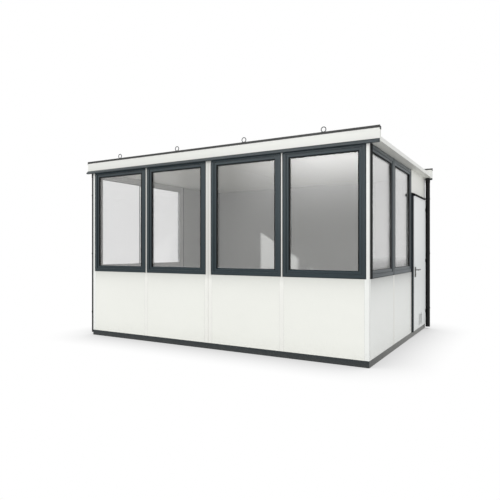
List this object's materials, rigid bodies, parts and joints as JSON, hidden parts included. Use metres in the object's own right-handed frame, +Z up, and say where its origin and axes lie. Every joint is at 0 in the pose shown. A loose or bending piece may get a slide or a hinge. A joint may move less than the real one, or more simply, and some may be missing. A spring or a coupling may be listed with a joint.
{
  "type": "security guard booth",
  "caption": "Flat-roofed guard booth with modular sandwich walls, wide dark-framed windows on three sides, a hinged door, lifting eyes and downpipes.",
  "frame": {"origin": "centre of the booth's bounding box at ground level", "axes": "+X to the right along the front, +Y from the front to the rear, +Z up"},
  "size_m": [4.361, 3.224, 2.6239],
  "materials": {
    "post_white": "satin",
    "panel_white": "satin",
    "frame_anthracite": "satin",
    "trim_anthracite": "satin",
    "floor_vinyl": "matte",
    "window_glass": "clear",
    "roof_slab_white": "satin",
    "fascia_white": "satin",
    "cap_dark": "satin",
    "roof_sheet_grey": "satin",
    "eye_steel": "galvanised",
    "pipe_black": "matte",
    "door_white": "satin",
    "grille_grey": "satin",
    "handle_steel": "brushed",
    "hinge_steel": "satin",
    "sill_aluminium": "brushed"
  },
  "bodies": {
    "booth": {"base_frame": "trim_anthracite", "corner_post_front_left": "post_white", "corner_post_front_right": "post_white", "corner_post_rear_left": "post_white", "corner_post_rear_right": "post_white", "door_head_rail": "trim_anthracite", "door_header_panel": "panel_white", "door_hinge_jamb": "post_white", "door_hinge_jamb_knuckles": "hinge_steel", "door_latch_jamb": "trim_anthracite", "door_sill": "sill_aluminium", "downpipe_clamps": "pipe_black", "downpipes": "pipe_black", "drip_strips": "trim_anthracite", "fascia_caps": "cap_dark", "fascia_front": "fascia_white", "fascia_rear": "fascia_white", "floor_deck": "floor_vinyl", "front_centre_post": "post_white", "front_lower_panels": "panel_white", "front_mullions": "post_white", "front_window_frame_1": "frame_anthracite", "front_window_frame_2": "frame_anthracite", "front_window_frame_3": "frame_anthracite", "front_window_frame_4": "frame_anthracite", "front_window_glass": "window_glass", "left_lower_panels": "panel_white", "left_wall_panel": "panel_white", "left_window_frame_1": "frame_anthracite", "left_window_frame_2": "frame_anthracite", "lifting_eyes": "eye_steel", "rear_centre_post": "post_white", "rear_mullions": "post_white", "rear_wall_panels": "panel_white", "right_lower_panels": "panel_white", "right_window_frame_1": "frame_anthracite", "right_window_frame_2": "frame_anthracite", "roof_sheet": "roof_sheet_grey", "roof_side_trims": "fascia_white", "roof_slab": "roof_slab_white", "side_mullions": "post_white", "side_window_glass": "window_glass", "side_window_strips": "frame_anthracite"},
    "door": {"door_leaf": "door_white", "door_vent_grille": "grille_grey", "door_handle_plates": "handle_steel", "door_hinge_leaf_knuckles": "hinge_steel"},
    "door_lever": {"door_lever": "handle_steel"}
  },
  "joints": [
    {"name": "door_hinge", "type": "hinge", "parent": "booth", "child": "door", "pos_m": [2.1035, 1.461, 1.06], "axis": [0, 0, 1], "range_deg": [0, 100]},
    {"name": "lever_turn", "type": "hinge", "parent": "door", "child": "door_lever", "pos_m": [2.0695, 0.645, 0.964], "axis": [-1, 0, 0], "range_deg": [0, 40], "stiffness_Nm_per_rad": 1.5, "springref_deg": -28.65}
  ]
}
